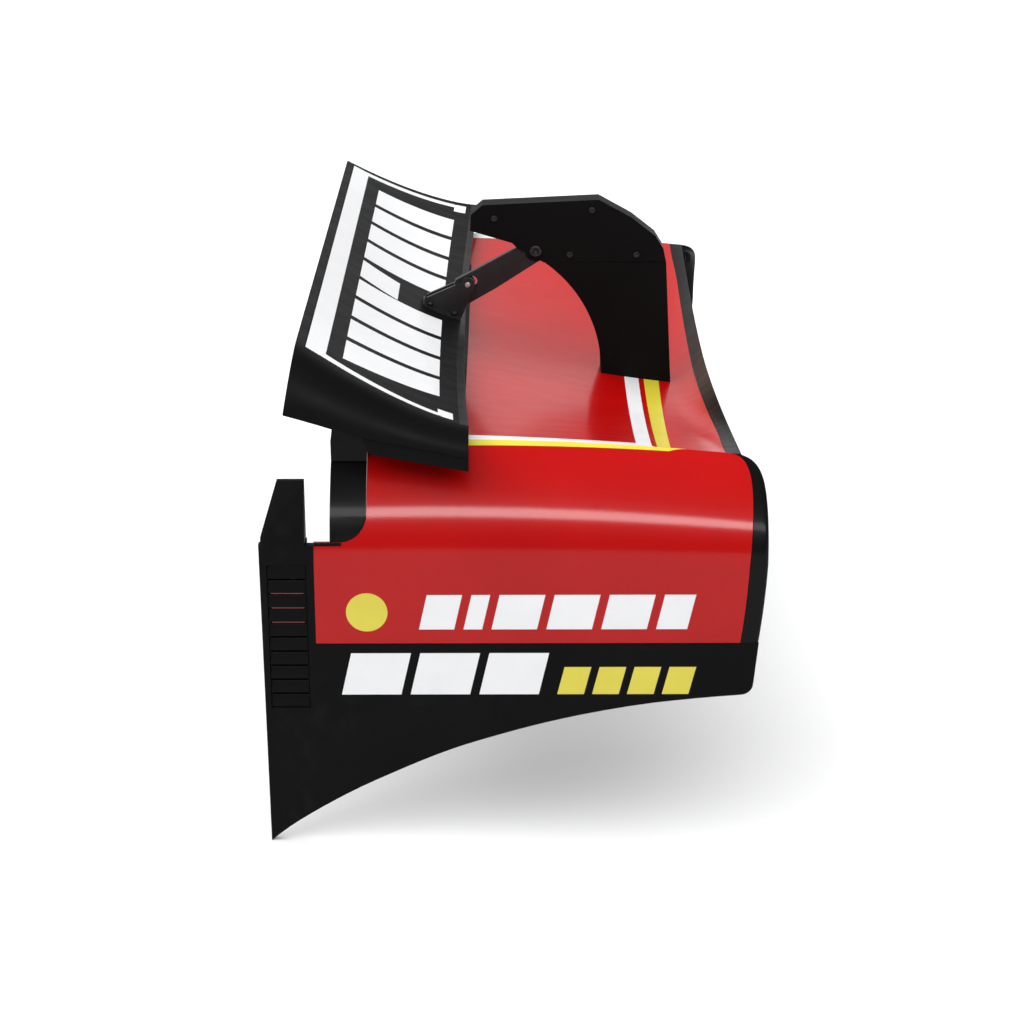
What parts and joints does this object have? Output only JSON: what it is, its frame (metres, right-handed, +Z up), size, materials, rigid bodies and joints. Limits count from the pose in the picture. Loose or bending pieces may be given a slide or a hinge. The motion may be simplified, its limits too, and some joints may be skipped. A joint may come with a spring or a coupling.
{
  "type": "racing rear wing",
  "caption": "Racing car rear wing: spoon-shaped red mainplane rolled into black endplates, hinged upper flap, swan-neck pylon with flap actuator pod.",
  "frame": {"origin": "centre of the pillar mount's face under the mainplane, on the centre plane", "axes": "+X towards the front of the car, +Y to the car's left along the span, +Z up"},
  "size_m": [0.4874, 0.96, 0.542],
  "materials": {
    "red_paint": "satin painted composite",
    "black_lacquer": "satin black painted composite",
    "bare_carbon": "matte carbon composite",
    "black_anodised": "black anodised",
    "alloy": "machined",
    "steel": "brushed",
    "bronze": "machined",
    "red_lens": "clear red",
    "circuit_board": "solder resist"
  },
  "bodies": {
    "root": {"mainplane_upper_skin": "red_paint", "mainplane_lower_skin": "bare_carbon", "mainplane_leading_edge": "black_lacquer", "mainplane_trailing_edge": "black_lacquer", "mainplane_front_spar": "bare_carbon", "mainplane_rear_spar": "bare_carbon", "mainplane_ribs": "bare_carbon", "endplate_right": "black_lacquer", "endplate_left": "black_lacquer", "front_band_right": "black_lacquer", "front_band_left": "black_lacquer", "tip_shell_right": "red_paint", "tip_shell_left": "red_paint", "tip_post_right": "black_lacquer", "tip_post_left": "black_lacquer", "pivot_bushes": "bronze", "light_housing_right": "black_lacquer", "light_housing_left": "black_lacquer", "light_lens_right": "red_lens", "light_lens_left": "red_lens", "light_board_right": "circuit_board", "light_board_left": "circuit_board", "hardpoint_block": "alloy", "pylon": "black_lacquer", "pod_cover_right": "black_lacquer", "pod_cover_left": "black_lacquer", "actuator_cylinder": "alloy", "cylinder_gland": "bronze", "hydraulic_fitting": "steel", "hydraulic_pipe": "steel", "rocker_pin": "steel", "pylon_bolts": "steel", "pod_screws": "black_anodised", "light_screws": "steel", "post_bolts": "steel"},
    "flap": {"flap_upper_skin": "black_lacquer", "flap_lower_skin": "black_lacquer", "flap_leading_edge": "black_lacquer", "flap_trailing_edge": "black_lacquer", "flap_spar": "bare_carbon", "flap_ribs": "bare_carbon", "flap_tip_right": "black_lacquer", "flap_tip_left": "black_lacquer", "flap_pivot_brackets": "alloy", "flap_pivot_pins": "steel", "flap_horn": "black_anodised", "horn_insert": "alloy", "horn_pin": "steel", "horn_roller": "bronze", "horn_screws": "steel"},
    "rocker": {"rocker": "black_anodised", "rocker_bushes": "bronze"},
    "piston": {"clevis": "alloy", "clevis_pin": "steel", "piston_rod": "steel", "piston": "bronze"}
  },
  "joints": [
    {"name": "flap_hinge", "type": "hinge", "parent": "root", "child": "flap", "pos_m": [-0.295, 0, 0.14], "axis": [0, -1, 0], "range_deg": [0, 25]},
    {"name": "rocker_pivot", "type": "hinge", "parent": "root", "child": "rocker", "pos_m": [-0.107, 0, 0.184], "axis": [0, 1, 0], "range_deg": [0, 32.4]},
    {"name": "actuator_slide", "type": "slide", "parent": "root", "child": "piston", "axis": [1, 0, 0], "range_m": [0, 0.0157]}
  ],
  "couplings": [
    {"joint": "rocker_pivot", "follows": "flap_hinge", "ratio": 1.292},
    {"joint": "actuator_slide", "follows": "flap_hinge", "m_per_rad": 0.03584}
  ]
}
